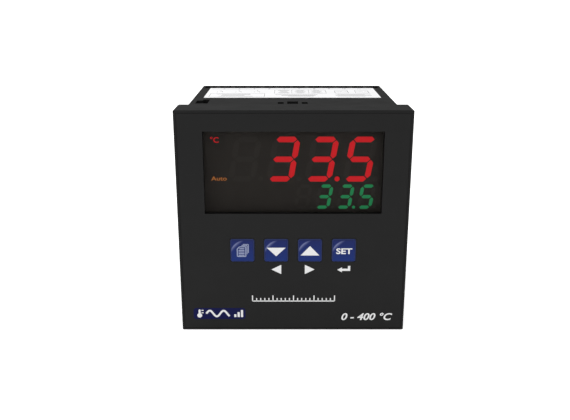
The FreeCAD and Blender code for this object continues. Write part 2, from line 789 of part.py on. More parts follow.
def make_clamps(label, rotation):
    """Cage clamps: a square tube that the wire enters, with a hole for the screw."""
    body = new_body(label, rotation)
    tube = new_sketch(body, "tube", f"0 - {CELL_FLOOR}", "XZ_Plane")
    for inset in ("0", "clamp_wall"):
        width = f"({CLAMP_WIDTH} - 2 * {inset})"
        length = f"({CLAMP_LENGTH} - 2 * {inset})"
        add_rectangle(tube, FIRST_TERMINAL, TERMINAL_CENTER, width, length)
    cage = pad(body, tube, "terminal_block_height - terminal_block_floor - clamp_sink", reverse=True)
    bore = new_sketch(body, "bore", CLAMP_REAR)
    bore_size = "(terminal_screw_diameter + 2 * terminal_screw_fit)"
    add_rectangle(bore, FIRST_TERMINAL, SCREW_LEVEL, bore_size, bore_size)
    hole = pocket(body, bore, "2 * clamp_wall", reverse=True)
    pattern(body, [cage, hole], tube, TERMINAL_PITCH, "terminal_count")
    return body


def make_terminal_screws(label, rotation):
    """Slotted screws whose heads bear on the clamps."""
    body = new_body(label, rotation)
    place = (FIRST_TERMINAL, SCREW_LEVEL)
    head_rear = f"({CLAMP_REAR} - terminal_head_height)"
    head_sizes = ("terminal_head_diameter / 2", "terminal_head_height")
    shank_sizes = ("terminal_screw_diameter / 2", "terminal_screw_reach")
    head = add_prism(body, "head", *place, head_rear, *head_sizes, sides=16)
    shank = add_prism(body, "shank", *place, CLAMP_REAR, *shank_sizes, sides=8)
    slots = new_sketch(body, "slot", head_rear)
    add_rectangle(slots, *place, "(2 * terminal_head_diameter)", "terminal_slot_width")
    slot = pocket(body, slots, "terminal_slot_depth", reverse=True)
    pattern(body, [head, shank, slot], slots, TERMINAL_PITCH, "terminal_count")
    return body


# ---------------------------------------------------------------- case


def add_case_ribs(body):
    """Pairs of ribs inside the side walls, with the inner boards between them."""
    ribs = new_sketch(body, "ribs", BLOCK_FRONT)
    middle = f"({BOARD_LEVEL} - board_thickness / 2)"
    step = "(board_thickness / 2 + board_groove_gap + rib_thickness / 2)"
    for side_x, side_y in CORNERS:
        for lift in BOTH_SIDES:
            add_rectangle(
                ribs,
                f"({side_x} * ({CASE_INNER} / 2 - rib_height / 2))",
                f"({side_y} * {middle} + {lift} * {step})",
                "rib_height",
                "rib_thickness",
            )
    pad(body, ribs, f"{INNER_BOARD_FRONT} - rib_setback - {BLOCK_FRONT}")


def add_case_snaps(body):
    """Snaps on the top and bottom that click into the skirt of the bezel."""
    snaps = new_sketch(body, "snaps", "snap_level")
    for side_x, side_y in CORNERS:
        add_rectangle(
            snaps,
            f"({side_x} * snap_spacing / 2)",
            f"({side_y} * (case_width - snap_height) / 2)",
            "snap_width",
            "(3 * snap_height)",
        )
    pad(body, snaps, "snap_length")


def cut_clamp_slots(body):
    """The slots that the hook and the two side lugs of a mounting clamp go into, top and bottom."""
    slots = new_sketch(body, "clamp_slots", "0", "XZ_Plane")
    side = "clamp_side_slot"
    for x, name in (("0", "clamp_slot"), (f"(0 - {side}_offset)", side), (f"{side}_offset", side)):
        center = f"(0 - clamp_slot_front - {name}_length / 2)"
        add_rectangle(slots, x, center, f"{name}_width", f"{name}_length")
    pocket(body, slots)


def cut_latch_window(body):
    """The stepped latch window at the left of the top."""
    left = "(latch_inset - case_width / 2)"
    right = f"({left} + latch_width)"
    tongue = f"({right} - latch_tongue_width)"
    front = "(0 - latch_front)"
    step = f"({front} - latch_length)"
    rear = f"({step} - latch_tongue_length)"
    outline = [(left, front), (left, step), (tongue, step), (tongue, rear), (right, rear), (right, front)]
    latch = new_sketch(body, "latch", "0", "XZ_Plane")
    add_polygon(latch, outline)
    pocket(body, latch, "case_width")


def cut_rear_windows(body):
    """The two windows in the rear wall that the bosses of the terminal blocks pass through."""
    windows = new_sketch(body, "rear_windows", "0 - case_depth")
    width = f"({BOSS_WIDTH} + 2 * terminal_boss_gap)"
    height = "(terminal_boss_height + 2 * terminal_boss_gap)"
    for side in BOTH_SIDES:
        add_rectangle(windows, "0", f"({side} * {BOSS_CENTER})", width, height)
    pocket(body, windows, "case_rear_wall", reverse=True)


def make_case():
    """The one-piece moulded case, open at the front."""
    body = new_body("case")
    outline = new_sketch(body, "outline", "0 - case_depth")
    add_rounded_rectangle(outline, "0", "0", "case_width", "case_width", "case_corner_radius")
    pad(body, outline, f"case_depth + {PLATE_REAR}")
    dress(body, "Chamfer", "case_rear_chamfer", "0 - case_depth")
    hollow = new_sketch(body, "hollow", PLATE_REAR)
    add_rectangle(hollow, "0", "0", CASE_INNER, CASE_INNER)
    pocket(body, hollow, f"{PLATE_REAR} - {REAR_WALL}")
    add_case_ribs(body)
    add_case_snaps(body)
    cut_clamp_slots(body)
    cut_latch_window(body)
    cut_rear_windows(body)
    wires = new_sketch(body, "wire_opening", "0", "XZ_Plane")
    add_rectangle(wires, FIRST_TERMINAL, TERMINAL_CENTER, OPENING_WIDTH, "terminal_opening_length")
    opening = pocket(body, wires)
    pattern(body, [opening], outline, TERMINAL_PITCH, "terminal_count")
    return body


def make_label():
    """The label on the top of the case, just in front of the wire openings."""
    body = new_body("case_label")
    outline = new_sketch(body, "outline", "0 - case_width / 2", "XZ_Plane")
    center = f"({OPENING_REAR} + terminal_opening_length + label_gap + label_length / 2)"
    add_rectangle(outline, "0", center, "(case_width - 2 * label_margin)", "label_length")
    pad(body, outline, "label_thickness", reverse=True)
    return body


# ---------------------------------------------------------------- parts on the boards


def seat(item, name, side, on_upper=False):
    """Stand a component on the inner face of a board, at its margin from a side edge and its setback."""
    if on_upper:
        item.Placement = Placement(Vector(0, 0, 0), Rotation(Vector(1, 0, 0), 180))
    if side:
        bind(item, "Placement.Base.x", f"{side} * ({BOARD_WIDTH} / 2 - {name}_margin)")
    bind(item, "Placement.Base.y", f"{name}_setback - {INNER_BOARD_FRONT}")
    bind(item, "Placement.Base.z", BOARD_INNER_FACE if on_upper else f"0 - {BOARD_INNER_FACE}")


def make_block(label, size_name):
    """A box-shaped component."""
    body = new_body(label, Rotation())
    outline = new_sketch(body, "outline", "0")
    add_rectangle(outline, "0", "0", f"{size_name}_width", f"{size_name}_length")
    pad(body, outline, f"{size_name}_height")
    return body


def make_can(label, size_name):
    """A round component."""
    body = new_body(label, Rotation())
    outline = new_sketch(body, "outline", "0")
    add_circle(outline, "0", "0", f"{size_name}_diameter")
    pad(body, outline, f"{size_name}_height")
    return body


def repeat_tip(body, pitch, count):
    sketch = body.Tip.Profile[0]
    pattern(body, [body.Tip], sketch, pitch, count)


def make_transformer():
    """A ferrite frame with a middle leg, and the winding round that leg."""
    core = new_body("transformer_core", Rotation())
    frame = new_sketch(core, "frame", "0 - transformer_thickness / 2", "XZ_Plane")
    add_rectangle(frame, "0", "(transformer_height / 2)", "transformer_width", "transformer_height")
    window_width = "((transformer_width - 2 * transformer_yoke - transformer_leg) / 2)"
    window_height = "(transformer_height - 2 * transformer_yoke)"
    for side in BOTH_SIDES:
        center = f"({side} * (transformer_leg + {window_width}) / 2)"
        add_rectangle(frame, center, "(transformer_height / 2)", window_width, window_height)
    pad(core, frame, "transformer_thickness")
    winding = new_body("transformer_winding", Rotation())
    coil = new_sketch(winding, "coil", "transformer_yoke + transformer_gap")
    add_circle(coil, "0", "0", f"(transformer_leg + 2 * {window_width} - 2 * transformer_gap)")
    leg_width = "(transformer_leg + 2 * transformer_gap)"
    add_rectangle(coil, "0", "0", leg_width, "(transformer_thickness + 2 * transformer_gap)")
    pad(winding, coil, f"{window_height} - 2 * transformer_gap")
    return core, winding


def make_components():
    """What the two inner boards and the display board carry."""
    core, winding = make_transformer()
    bulk_capacitor = make_can("bulk_capacitor", "bulk_capacitor")
    dress(bulk_capacitor, "Chamfer", "capacitor_chamfer", "bulk_capacitor_height")
    filter_capacitors = make_can("filter_capacitors", "filter_capacitor")
    repeat_tip(filter_capacitors, "filter_capacitor_pitch", "2")
    fuse = make_can("mains_fuse", "mains_fuse")
    relays = make_block("output_relays", "relay")
    repeat_tip(relays, "relay_pitch", "3")
    processor = make_block("processor", "processor")
    converter = make_block("input_converter", "input_converter")
    for item in (core, winding):
        seat(item, "transformer", 1)
    seat(bulk_capacitor, "bulk_capacitor", 0)
    seat(filter_capacitors, "filter_capacitors", -1)
    seat(fuse, "mains_fuse", 1)
    seat(relays, "output_relays", -1)
    seat(processor, "processor", -1, on_upper=True)
    seat(converter, "input_converter", 1, on_upper=True)
    driver = new_body("display_driver")
    outline = new_sketch(driver, "outline", BOARD_REAR)
    add_rectangle(outline, "0", "0", "driver_width", "driver_height")
    pad(driver, outline, "driver_thickness", reverse=True)
    return [core, winding, bulk_capacitor, filter_capacitors, fuse, relays, processor, converter, driver]


# ---------------------------------------------------------------- document


def check(parts):
    """Stop if an object failed, a shape is bad, or a Pocket cut nothing."""
    document.recompute()
    for item in document.Objects:
        if "Invalid" in item.State or "Error" in item.State:
            raise RuntimeError(f"{item.Label} failed: {item.State}")
        if item.TypeId == "PartDesign::Pocket" and item.Shape.Volume > item.BaseFeature.Shape.Volume - 1e-6:
            raise RuntimeError(f"{item.Label} cuts nothing")
    for part in parts:
        if part.Shape.isNull() or not part.Shape.isValid():
            raise RuntimeError(f"{part.Label} has a bad shape")


def main():
    fill_sheet()
    flipped = UPRIGHT * HALF_TURN
    parts = [make_bezel(), make_overlay(), make_window(), make_switches()]
    for place, name in enumerate(("menu", "down", "up", "set")):
        parts.append(make_key(f"key_{name}", place))
        parts.append(make_plunger(f"plunger_{name}", place))
    parts += make_display()
    parts += [make_display_board(), make_headers()]
    for name, rotation in (("upper", UPRIGHT), ("lower", flipped)):
        parts.append(make_inner_board(f"{name}_board", rotation))
        parts.append(make_terminal_block(f"{name}_terminal_block", rotation))
        parts.append(make_clamps(f"{name}_terminal_clamps", rotation))
        parts.append(make_terminal_screws(f"{name}_terminal_screws", rotation))
    parts += [make_case(), make_label()]
    parts += make_components()
    check(parts)
    os.makedirs("parts", exist_ok=True)
    for part in parts:
        part.Shape.exportStep(f"parts/{part.Label}.step")


main()
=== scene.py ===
"""Looks of a 96 mm panel-mount temperature controller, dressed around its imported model.

Lengths in the shape code are millimetres and are scaled to metres where a piece is placed. Flat
pieces are drawn on a face of the object in that face's own directions: x to the right, y up and z
towards whoever looks at it.
"""
import math

import bmesh
import bpy
from mathutils import Matrix, Vector


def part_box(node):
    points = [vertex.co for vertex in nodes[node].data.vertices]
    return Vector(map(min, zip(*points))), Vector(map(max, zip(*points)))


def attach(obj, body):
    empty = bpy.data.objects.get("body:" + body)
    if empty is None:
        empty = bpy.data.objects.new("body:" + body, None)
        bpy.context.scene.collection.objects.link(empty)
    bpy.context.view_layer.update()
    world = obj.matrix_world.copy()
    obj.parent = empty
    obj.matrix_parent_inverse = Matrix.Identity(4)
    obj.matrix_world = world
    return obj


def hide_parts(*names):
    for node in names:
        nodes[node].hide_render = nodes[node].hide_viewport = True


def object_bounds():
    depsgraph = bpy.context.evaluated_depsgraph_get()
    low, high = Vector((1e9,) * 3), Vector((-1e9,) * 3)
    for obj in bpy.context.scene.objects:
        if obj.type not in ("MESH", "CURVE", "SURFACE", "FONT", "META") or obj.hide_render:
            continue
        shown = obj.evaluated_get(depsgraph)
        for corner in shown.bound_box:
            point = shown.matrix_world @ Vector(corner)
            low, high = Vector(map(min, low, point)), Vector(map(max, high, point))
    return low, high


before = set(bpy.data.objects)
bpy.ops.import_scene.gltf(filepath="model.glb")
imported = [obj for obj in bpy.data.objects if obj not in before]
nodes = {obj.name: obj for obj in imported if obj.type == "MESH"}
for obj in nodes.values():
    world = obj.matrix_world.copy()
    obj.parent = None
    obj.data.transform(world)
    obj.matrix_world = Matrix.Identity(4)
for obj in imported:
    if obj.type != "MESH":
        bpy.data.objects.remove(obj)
cad_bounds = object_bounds()

MM = 0.001
MAIN_BODY = "controller"
KEYS = ("menu", "down", "up", "set")

# Directions of the faces that carry print, as seen by whoever looks at them.
FRONT = Matrix(((1, 0, 0), (0, 0, -1), (0, 1, 0))).to_4x4()
TOP = Matrix.Identity(4)
REAR = Matrix(((-1, 0, 0), (0, 0, 1), (0, 1, 0))).to_4x4()


# ---------------------------------------------------------------- materials


def srgb(red, green, blue):
    """A colour as a screen shows it, 0 to 255, in the linear units that shaders take."""

    def linear(value):
        value /= 255
        return value / 12.92 if value <= 0.04045 else ((value + 0.055) / 1.055) ** 2.4

    return (linear(red), linear(green), linear(blue), 1.0)


def new_material(name, roughness=0.5, specular=0.5):
    """A material with its tree and shader; gloss that is the same all over is set on the shader."""
    material = bpy.data.materials.new(name)
    material.use_nodes = True
    tree = material.node_tree
    shader = tree.nodes["Principled BSDF"]
    shader.inputs["Roughness"].default_value = roughness
    shader.inputs["Specular IOR Level"].default_value = specular
    return material, tree, shader


def noise(tree, size, detail=2.0):
    """Noise whose features are about size millimetres across."""
    place = tree.nodes.new("ShaderNodeTexCoord")
    texture = tree.nodes.new("ShaderNodeTexNoise")
    texture.inputs["Scale"].default_value = 1 / (size * MM)
    texture.inputs["Detail"].default_value = detail
    tree.links.new(place.outputs["Object"], texture.inputs["Vector"])
    return texture.outputs["Fac"]


def mix(tree, factor, first, second):
    """Blend two colours, or colour outputs, by a factor."""
    node = tree.nodes.new("ShaderNodeMix")
    node.data_type = "RGBA"
    tree.links.new(factor, node.inputs["Factor"])
    for value, socket in ((first, node.inputs[6]), (second, node.inputs[7])):
        if isinstance(value, tuple):
            socket.default_value = value
        else:
            tree.links.new(value, socket)
    return node.outputs[2]


def remap(tree, value, low, high, new_low=0.0, new_high=1.0, smooth=False):
    """Bring a value from one range into another, clamped."""
    node = tree.nodes.new("ShaderNodeMapRange")
    if smooth:
        node.interpolation_type = "SMOOTHSTEP"
    tree.links.new(value, node.inputs["Value"])
    limits = {"From Min": low, "From Max": high, "To Min": new_low, "To Max": new_high}
    for socket, limit in limits.items():
        node.inputs[socket].default_value = limit
    return node.outputs["Result"]


def calculate(tree, operation, first, second):
    """One sum on two values or outputs."""
    node = tree.nodes.new("ShaderNodeMath")
    node.operation = operation
    for value, socket in zip((first, second), node.inputs):
        if isinstance(value, (int, float)):
            socket.default_value = value
        else:
            tree.links.new(value, socket)
    return node.outputs[0]


def bump(tree, shader, height, depth):
    """Relief of a depth in millimetres."""
    node = tree.nodes.new("ShaderNodeBump")
    node.inputs["Distance"].default_value = depth * MM
    tree.links.new(height, node.inputs["Height"])
    tree.links.new(node.outputs["Normal"], shader.inputs["Normal"])


def shade(color, factor):
    """A colour made lighter or darker."""
    return tuple(min(1.0, channel * factor) for channel in color[:3]) + (1.0,)


def moulded_plastic(name, color, roughness=0.5, grain=0.25, depth=0.01, specular=0.25):
    """Plastic from a spark-eroded mould: fine grain, faint clouds in tone and gloss."""
    material, tree, shader = new_material(name, roughness, specular)
    clouds = noise(tree, 14.0)
    tone = mix(tree, clouds, shade(color, 0.94), shade(color, 1.06))
    tree.links.new(tone, shader.inputs["Base Color"])
    gloss = remap(tree, noise(tree, 9.0), 0.3, 0.7, roughness - 0.03, roughness + 0.03)
    tree.links.new(gloss, shader.inputs["Roughness"])
    bump(tree, shader, noise(tree, grain, 3.0), depth)
    return material


def matt_plastic(name, color):
    """Matt plastic behind the window, so smooth that the light of the segments shows no grain."""
    material, tree, shader = new_material(name, 0.8, 0.08)
    tone = mix(tree, noise(tree, 6.0), shade(color, 0.94), shade(color, 1.06))
    tree.links.new(tone, shader.inputs["Base Color"])
    return material


def printed_ink(name, color, roughness=0.45, specular=0.2):
    """Screen-printed ink with a faint mottle."""
    material, tree, shader = new_material(name, roughness, specular)
    mottle = noise(tree, 0.6, 3.0)
    tone = mix(tree, mottle, shade(color, 0.93), shade(color, 1.05))
    tree.links.new(tone, shader.inputs["Base Color"])
    bump(tree, shader, mottle, 0.002)
    return material


def lit_material(name, color, strength):
    """A lit diffuser: its light is a little uneven, as the grains in the resin scatter it."""
    material, tree, shader = new_material(name, 0.5, 0.1)
    glow = mix(tree, noise(tree, 1.6), shade(color, 0.9), shade(color, 1.06))
    tree.links.new(glow, shader.inputs["Emission Color"])
    shader.inputs["Emission Strength"].default_value = strength
    shader.inputs["Base Color"].default_value = shade(color, 0.3)
    material.cycles.emission_sampling = "NONE"
    return material


def smoked_acrylic(name, alpha):
    """Dark transparent sheet with no specular, so it holds no reflection, that dims what is behind
    it. Its sheen is painted reflection, lightening the grey of the reflector and unlit resin behind
    it.
    """
    material, tree, shader = new_material(name, 0.3, 0.0)
    shader.inputs["Base Color"].default_value = srgb(0, 0, 0)
    gloss = remap(tree, noise(tree, 8.0), 0.3, 0.7, 0.28, 0.34)
    tree.links.new(gloss, shader.inputs["Roughness"])
    shader.inputs["Alpha"].default_value = alpha
    return material


def key_print():
    """Blue printed key: soft dark rim and a pale crescent that runs round the upper left."""
    material, tree, shader = new_material("key_print", 0.45, 0.1)
    place = tree.nodes.new("ShaderNodeTexCoord")
    split = tree.nodes.new("ShaderNodeSeparateXYZ")
    tree.links.new(place.outputs["UV"], split.inputs["Vector"])
    across, up = split.outputs["X"], split.outputs["Y"]

    def offset(value, middle):
        return calculate(tree, "SUBTRACT", value, middle)

    def squared(value):
        return calculate(tree, "MULTIPLY", value, value)

    def size_of(value):
        return calculate(tree, "ABSOLUTE", value, 0.0)

    field = mix(tree, remap(tree, up, 0.1, 1.0), srgb(19, 39, 98), srgb(22, 31, 81))
    rim = calculate(tree, "MAXIMUM", size_of(offset(across, 0.5)), size_of(offset(up, 0.5)))
    field = mix(tree, remap(tree, rim, 0.42, 0.5, smooth=True), field, srgb(22, 27, 58))
    reach = calculate(tree, "ADD", squared(offset(across, 0.62)), squared(offset(up, 0.33)))
    radius = calculate(tree, "SQRT", reach, 0.0)
    rise = remap(tree, radius, 0.42, 0.6)
    fall = remap(tree, radius, 0.6, 0.65, 1.0, 0.0, True)
    corner = remap(tree, calculate(tree, "SUBTRACT", up, across), 0.36, 0.7, smooth=True)
    crescent = calculate(tree, "MULTIPLY", calculate(tree, "MULTIPLY", rise, fall), corner)
    tree.links.new(mix(tree, crescent, field, srgb(122, 128, 164)), shader.inputs["Base Color"])
    bump(tree, shader, noise(tree, 0.4), 0.002)
    return material


def plated_steel(name, color, stretch):
    """Zinc-plated steel with fine turning or drawing marks."""
    material, tree, shader = new_material(name, 0.34, 0.5)
    place = tree.nodes.new("ShaderNodeTexCoord")
    mapping = tree.nodes.new("ShaderNodeMapping")
    mapping.inputs["Scale"].default_value = stretch
    texture = tree.nodes.new("ShaderNodeTexNoise")
    texture.inputs["Scale"].default_value = 1 / (0.35 * MM)
    tree.links.new(place.outputs["Object"], mapping.inputs["Vector"])
    tree.links.new(mapping.outputs["Vector"], texture.inputs["Vector"])
    shader.inputs["Metallic"].default_value = 1.0
    tone = mix(tree, texture.outputs["Fac"], shade(color, 0.8), shade(color, 1.1))
    tree.links.new(tone, shader.inputs["Base Color"])
    bump(tree, shader, texture.outputs["Fac"], 0.006)
    return material


def circuit_board():
    """Green solder mask with darker gaps between the copper runs under it."""
    material, tree, shader = new_material("circuit_board", 0.35, 0.5)
    place = tree.nodes.new("ShaderNodeTexCoord")
    runs = tree.nodes.new("ShaderNodeTexBrick")
    runs.inputs["Scale"].default_value = 1 / (6.0 * MM)
    runs.inputs["Mortar Size"].default_value = 0.035
    runs.inputs["Color1"].default_value = srgb(18, 96, 52)
    runs.inputs["Color2"].default_value = srgb(22, 108, 60)
    runs.inputs["Mortar"].default_value = srgb(10, 66, 36)
    tree.links.new(place.outputs["Object"], runs.inputs["Vector"])
    mottled = mix(tree, noise(tree, 3.0), runs.outputs["Color"], srgb(16, 88, 48))
    tree.links.new(mottled, shader.inputs["Base Color"])
    bump(tree, shader, runs.outputs["Fac"], 0.02)
    return material


def banded(name, first, second, width, roughness=0.4):
    """Turns of tape or wire, banded along z."""
    material, tree, shader = new_material(name, roughness, 0.4)
    place = tree.nodes.new("ShaderNodeTexCoord")
    bands = tree.nodes.new("ShaderNodeTexWave")
    bands.bands_direction = "Z"
    bands.inputs["Scale"].default_value = 1 / (width * MM) / 20
    bands.inputs["Distortion"].default_value = 0.6
    tree.links.new(place.outputs["Object"], bands.inputs["Vector"])
    tree.links.new(mix(tree, bands.outputs["Fac"], first, second), shader.inputs["Base Color"])
    bump(tree, shader, bands.outputs["Fac"], 0.05)
    return material


def capped(name, side, cap, roughness=0.35):
    """A sleeved can: plastic sleeve on the side and bare metal on the ends."""
    material, tree, shader = new_material(name, roughness, 0.5)
    facing = tree.nodes.new("ShaderNodeNewGeometry")
    split = tree.nodes.new("ShaderNodeSeparateXYZ")
    tree.links.new(facing.outputs["Normal"], split.inputs["Vector"])
    end = remap(tree, calculate(tree, "ABSOLUTE", split.outputs["Z"], 0.0), 0.8, 0.85)
    tree.links.new(mix(tree, end, side, cap), shader.inputs["Base Color"])
    tree.links.new(end, shader.inputs["Metallic"])
    bump(tree, shader, noise(tree, 0.8), 0.004)
    return material


def make_materials():
    """Every finish, by the names that the pieces use."""
    moulded = moulded_plastic
    return {
        "bezel": moulded("bezel_plastic", srgb(25, 25, 25), 0.6, 0.22, 0.006, 0.08),
        "case": moulded("case_plastic", srgb(23, 23, 23), 0.62, 0.3, 0.008, 0.08),
        "overlay": moulded("overlay_film", srgb(22, 22, 22), 0.55, 0.12, 0.004, 0.12),
        "window": smoked_acrylic("smoked_acrylic", 0.2),
        # Painted reflection: the greys of the reflector and the unlit resin are lightened to stand
        # in for the window's sheen.
        "reflector": matt_plastic("reflector_plastic", srgb(55, 52, 49)),
        "unlit": matt_plastic("unlit_resin_painted_sheen", srgb(59, 56, 53)),
        "red": lit_material("lit_red", srgb(236, 42, 48), 0.69),
        "green": lit_material("lit_green", srgb(46, 149, 92), 0.7),
        "amber": lit_material("lit_amber", srgb(236, 148, 74), 0.6),
        "key": moulded("key_plastic", srgb(34, 46, 92), 0.45, 0.15, 0.004, 0.2),
        "key_print": key_print(),
        "black": moulded("black_plastic", srgb(34, 34, 35), 0.5, 0.2, 0.006, 0.3),
        "terminal": moulded("terminal_plastic", srgb(40, 41, 42), 0.5, 0.2, 0.006, 0.3),
        "relay": moulded("relay_plastic", srgb(34, 84, 150), 0.4, 0.25, 0.006, 0.4),
        "fuse": moulded("fuse_plastic", srgb(96, 44, 30), 0.35, 0.2, 0.004, 0.4),
        "ferrite": moulded("ferrite", srgb(60, 60, 64), 0.6, 0.35, 0.02, 0.3),
        "label": moulded("label_film", srgb(238, 238, 239), 0.5, 0.3, 0.002, 0.1),
        "white_ink": printed_ink("white_ink", srgb(208, 208, 208)),
        "pale_ink": printed_ink("pale_ink", srgb(144, 152, 178)),
        "blue_ink": printed_ink("blue_ink", srgb(13, 16, 60), specular=0.06),
        "grey_ink": printed_ink("grey_ink", srgb(92, 92, 94)),
        "screw": plated_steel("screw_steel", srgb(196, 196, 190), (1, 6, 1)),
        "clamp": plated_steel("clamp_steel", srgb(188, 186, 176), (1, 1, 5)),
        "board": circuit_board(),
        "tape": banded("winding_tape", srgb(214, 178, 60), srgb(196, 156, 44), 1.0),
        "can": capped("capacitor_sleeve", srgb(26, 34, 78), srgb(190, 190, 192)),
    }


NODE_FINISHES = {
    "front_bezel": "bezel",
    "case": "case",
    "front_overlay": "overlay",
    "display_window": "window",
    "display_reflector": "reflector",
    "process_segments_lit": "red",
    "process_segments_unlit": "unlit",
    "setpoint_segments_lit": "green",
    "setpoint_segments_unlit": "unlit",
    "unit_light": "reflector",
    "status_light": "reflector",
    "display_board": "board",
    "upper_board": "board",
    "lower_board": "board",
    "board_headers": "black",
    "key_switches": "black",
    "upper_terminal_block": "terminal",
    "lower_terminal_block": "terminal",
    "upper_terminal_clamps": "clamp",
    "lower_terminal_clamps": "clamp",
    "upper_terminal_screws": "screw",
    "lower_terminal_screws": "screw",
    "case_label": "label",
    "transformer_core": "ferrite",
    "transformer_winding": "tape",
    "bulk_capacitor": "can",
    "filter_capacitors": "can",
    "mains_fuse": "fuse",
    "output_relays": "relay",
    "processor": "black",
    "input_converter": "black",
    "display_driver": "black",
}


def dress_nodes(finishes):
    """Give each node of the frame its finish."""
    chosen = dict(NODE_FINISHES)
    for name in KEYS:
        chosen[f"key_{name}"] = "key"
        chosen[f"plunger_{name}"] = "black"
    for name, finish in chosen.items():
        mesh = nodes[name].data
        mesh.materials.clear()
        mesh.materials.append(finishes[finish])


# ---------------------------------------------------------------- shapes


def add_piece(name, mesh, material, body):
    """Link a mesh as a piece that rides on a body."""
    piece = bpy.data.objects.new(name, mesh)
    bpy.context.scene.collection.objects.link(piece)
    mesh.materials.clear()
    mesh.materials.append(material)
    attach(piece, body)
    return piece


def arc(x, y, radius, start, end, steps=8):
    """Points along an arc, with its angles in degrees."""
    angles = [math.radians(start + (end - start) * step / steps) for step in range(steps + 1)]
    return [(x + radius * math.cos(angle), y + radius * math.sin(angle)) for angle in angles]


def rounded(x, y, width, height, radius):
    """The outline of a rectangle round x, y with rounded corners."""
    dx, dy = width / 2 - radius, height / 2 - radius
    points = []
    for turn, (side_x, side_y) in enumerate(((1, 1), (-1, 1), (-1, -1), (1, -1))):
        points += arc(x + side_x * dx, y + side_y * dy, radius, turn * 90, turn * 90 + 90)
    return points


def ribbon(points, width):
    """The outline of a line of a given width along points."""
    left, right = [], []
    for place, point in enumerate(points):
        before = Vector(points[max(place - 1, 0)])
        after = Vector(points[min(place + 1, len(points) - 1)])
        along = (after - before).normalized()
        across = Vector((-along.y, along.x)) * (width / 2)
        left.append(tuple(Vector(point) + across))
        right.append(tuple(Vector(point) - across))
    return left + right[::-1]


def lettering(words, slant, weight):
    """The mesh of a line of letters, at the font's own size."""
    curve = bpy.data.curves.new("lettering", "FONT")
    curve.body = words
    curve.shear = slant
    curve.offset = weight
    curve.extrude = 0.5
    curve.resolution_u = 4
    holder = bpy.data.objects.new("lettering", curve)
    bpy.context.scene.collection.objects.link(holder)
    bpy.context.view_layer.update()
    letters = bpy.data.meshes.new_from_object(holder)
    bpy.data.objects.remove(holder)
    bpy.data.curves.remove(curve)
    return letters


def box_of(node):
    """The lowest corner, highest corner and middle of a node, in metres."""
    low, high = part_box(node)
    return low, high, (low + high) / 2


class Artwork:
    """Flat shapes in millimetres, gathered into one thin piece on a face of the object."""

    def __init__(self, thickness=0.03):
        self.mesh = bmesh.new()
        self.thickness = thickness

    def polygon(self, points):
        """A filled outline with the artwork's thickness."""
        lower = [self.mesh.verts.new((x, y, 0.0)) for x, y in points]
        upper = [self.mesh.verts.new((x, y, self.thickness)) for x, y in points]
        self.mesh.faces.new(upper)
        self.mesh.faces.new(lower[::-1])
        for place in range(len(points)):
            following = (place + 1) % len(points)
            side = (lower[place], lower[following], upper[following], upper[place])
            self.mesh.faces.new(side)

    def box(self, x, y, width, height):
        """A filled rectangle round x, y."""
        left, right, low, high = x - width / 2, x + width / 2, y - height / 2, y + height / 2
        self.polygon([(left, low), (right, low), (right, high), (left, high)])

    def frame(self, x, y, width, height, line):
        """The four lines of an empty rectangle round x, y."""
        for side in (-1, 1):
            self.box(x, y + side * (height - line) / 2, width, line)
            self.box(x + side * (width - line) / 2, y, line, height - 2 * line)

    def line(self, points, width):
        """A line of a given width along points."""
        self.polygon(ribbon(points, width))

    def text(self, words, x, y, width, height, slant=0.0, weight=0.0):
        """Lettering that fills a box round x, y."""
        letters = lettering(words, slant, weight)
        low = [min(vertex.co[axis] for vertex in letters.vertices) for axis in range(3)]
        high = [max(vertex.co[axis] for vertex in letters.vertices) for axis in range(3)]
        sizes = (width, height, self.thickness)
        corner = (x - width / 2, y - height / 2, 0.0)
        for vertex in letters.vertices:
            for axis in range(3):
                share = (vertex.co[axis] - low[axis]) / (high[axis] - low[axis])
                vertex.co[axis] = corner[axis] + share * sizes[axis]
        self.mesh.from_mesh(letters)
        bpy.data.meshes.remove(letters)

    def place(self, name, face, origin, material, body=MAIN_BODY, slot="label_film"):
        """Turn the artwork on to a face, with its own origin at a point of the object in metres."""
        bmesh.ops.remove_doubles(self.mesh, verts=self.mesh.verts, dist=1e-5)
        bmesh.ops.recalc_face_normals(self.mesh, faces=self.mesh.faces)
        self.mesh.transform(Matrix.Translation(origin) @ face @ Matrix.Scale(MM, 4))
        mesh = bpy.data.meshes.new(name)
        self.mesh.to_mesh(mesh)
        self.mesh.free()
        return add_piece(name, mesh, material, body)


# ---------------------------------------------------------------- print on the front

# Places on the front, from its middle.
ARROW_LEVEL = -19.7
ARROW_BASE, ARROW_TIP, ARROW_HALF = 5.0, 9.15, 2.1
RETURN_ARROW_X = 21.5
SCALE_PLACE = (0.25, -32.9)
SCALE_WIDTH = 35.2
RANGE_PLACE = (32.0, -41.6)
RANGE_SIZE = (22.0, 3.5)
BADGE_PLACE = (-31.7, -40.2)
BADGE_SIZE = (22.4, 5.2)
BADGE_CORNER = 1.2
THERMOMETER_X = -40.3
WAVE_START, WAVE_STEP, WAVE_HEIGHT, WAVE_LINE = -37.4, 0.25, 1.35, 0.85
BARS_X, BARS_BASE, BARS_PITCH, BAR_WIDTH = -24.9, -41.85, 1.45, 0.95
BAR_HEIGHTS = (1.3, 2.3, 3.3)


